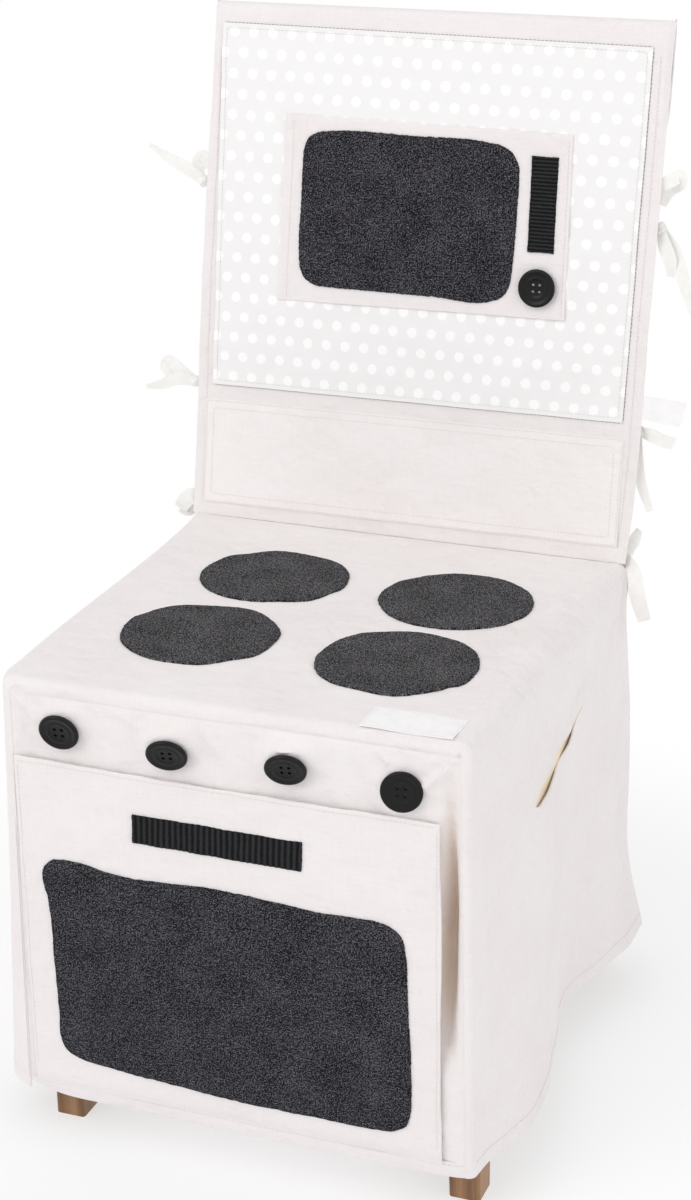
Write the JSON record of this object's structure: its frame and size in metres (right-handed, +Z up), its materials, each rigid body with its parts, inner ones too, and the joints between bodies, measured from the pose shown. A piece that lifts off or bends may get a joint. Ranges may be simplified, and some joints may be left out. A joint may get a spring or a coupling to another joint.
{
  "type": "toy oven",
  "caption": "Toy oven made as a canvas cover over a wooden chair: felt burners on the seat, an oven door that folds down, button knobs, and a microwave on the back.",
  "frame": {"origin": "on the floor, under the middle of the part's outline", "axes": "+Z up, -Y towards the front with the oven door, +X to the right as seen from the front"},
  "size_m": [0.5768, 0.5455, 0.93],
  "materials": {
    "canvas": "natural unbleached cotton canvas, plain weave",
    "dotted_cotton": "cream cotton printed with small white dots",
    "felt_charcoal": "mottled charcoal wool felt with a zig-zag stitched edge",
    "webbing_black": "ribbed black webbing",
    "cotton_ribbon": "soft cotton tape",
    "label_satin": "smooth white woven satin, blank",
    "closure_tape": "white hook-and-loop tape",
    "thread": "waxed cotton thread",
    "button_black": "matte black moulded resin",
    "wood": "satin lacquered mid-brown hardwood",
    "screw_steel": "plain wood screws"
  },
  "bodies": {
    "cover_and_chair": {"back_panel": "canvas", "back_slats": "wood", "burner_front_left": "felt_charcoal", "burner_front_right": "felt_charcoal", "burner_rear_left": "felt_charcoal", "burner_rear_right": "felt_charcoal", "corner_blocks": "wood", "crest_rail": "wood", "cross_stretcher": "wood", "dotted_panel": "dotted_cotton", "front_hem": "canvas", "front_left_leg": "wood", "front_panel": "canvas", "front_rail": "wood", "front_right_leg": "wood", "knob_shanks": "thread", "label_patch": "label_satin", "left_rail": "wood", "left_side_panel": "canvas", "left_stretcher": "wood", "loop_tapes": "closure_tape", "lower_back_rail": "wood", "oven_liner": "canvas", "rear_left_post": "wood", "rear_rail": "wood", "rear_right_post": "wood", "right_rail": "wood", "right_side_panel": "canvas", "right_stretcher": "wood", "seat_board": "wood", "seat_panel": "canvas", "seat_screws": "screw_steel", "side_pocket": "canvas", "side_tag": "label_satin", "sleeve_back": "canvas", "sleeve_front": "canvas", "splash_panel": "canvas", "tie_left_bottom": "cotton_ribbon", "tie_left_middle": "cotton_ribbon", "tie_left_top": "cotton_ribbon", "tie_right_bottom": "cotton_ribbon", "tie_right_middle": "cotton_ribbon", "tie_right_top": "cotton_ribbon"},
    "oven_door": {"oven_door": "canvas", "oven_window": "felt_charcoal", "oven_handle": "webbing_black", "hook_tapes": "closure_tape"},
    "microwave_door": {"microwave_door": "canvas", "microwave_window": "felt_charcoal", "microwave_handle": "webbing_black", "microwave_shank": "thread"},
    "microwave_knob": {"microwave_knob": "button_black"},
    "knob_1": {"knob_1": "button_black"},
    "knob_2": {"knob_2": "button_black"},
    "knob_3": {"knob_3": "button_black"},
    "knob_4": {"knob_4": "button_black"}
  },
  "joints": [
    {"name": "oven_door_hinge", "type": "hinge", "parent": "cover_and_chair", "child": "oven_door", "pos_m": [-0.009, -0.25475, 0.06], "axis": [1, 0, 0], "range_deg": [0, 98]},
    {"name": "microwave_door_hinge", "type": "hinge", "parent": "cover_and_chair", "child": "microwave_door", "pos_m": [-0.145, 0.2137, 0.74475], "axis": [0, -0.1478, -0.989], "range_deg": [0, 165]},
    {"name": "knob_1_turn", "type": "hinge", "parent": "cover_and_chair", "child": "knob_1", "pos_m": [-0.1542, -0.25215, 0.4069], "axis": [0.0842, -0.9623, -0.2588], "range_deg": [-45, 45], "stiffness_Nm_per_rad": 0.002},
    {"name": "knob_2_turn", "type": "hinge", "parent": "cover_and_chair", "child": "knob_2", "pos_m": [-0.056, -0.25215, 0.4059], "axis": [0.1884, -0.8865, -0.4226], "range_deg": [-45, 45], "stiffness_Nm_per_rad": 0.002},
    {"name": "knob_3_turn", "type": "hinge", "parent": "cover_and_chair", "child": "knob_3", "pos_m": [0.0491, -0.25215, 0.4099], "axis": [0.1884, -0.8865, -0.4226], "range_deg": [-45, 45], "stiffness_Nm_per_rad": 0.002},
    {"name": "knob_4_turn", "type": "hinge", "parent": "cover_and_chair", "child": "knob_4", "pos_m": [0.1476, -0.25215, 0.3987], "axis": [0.1734, -0.9835, 0.0523], "range_deg": [-45, 45], "stiffness_Nm_per_rad": 0.002},
    {"name": "microwave_knob_turn", "type": "hinge", "parent": "microwave_door", "child": "microwave_knob", "pos_m": [0.112, 0.20565, 0.69085], "axis": [0, -0.989, 0.1478], "range_deg": [-45, 45], "stiffness_Nm_per_rad": 0.002}
  ]
}
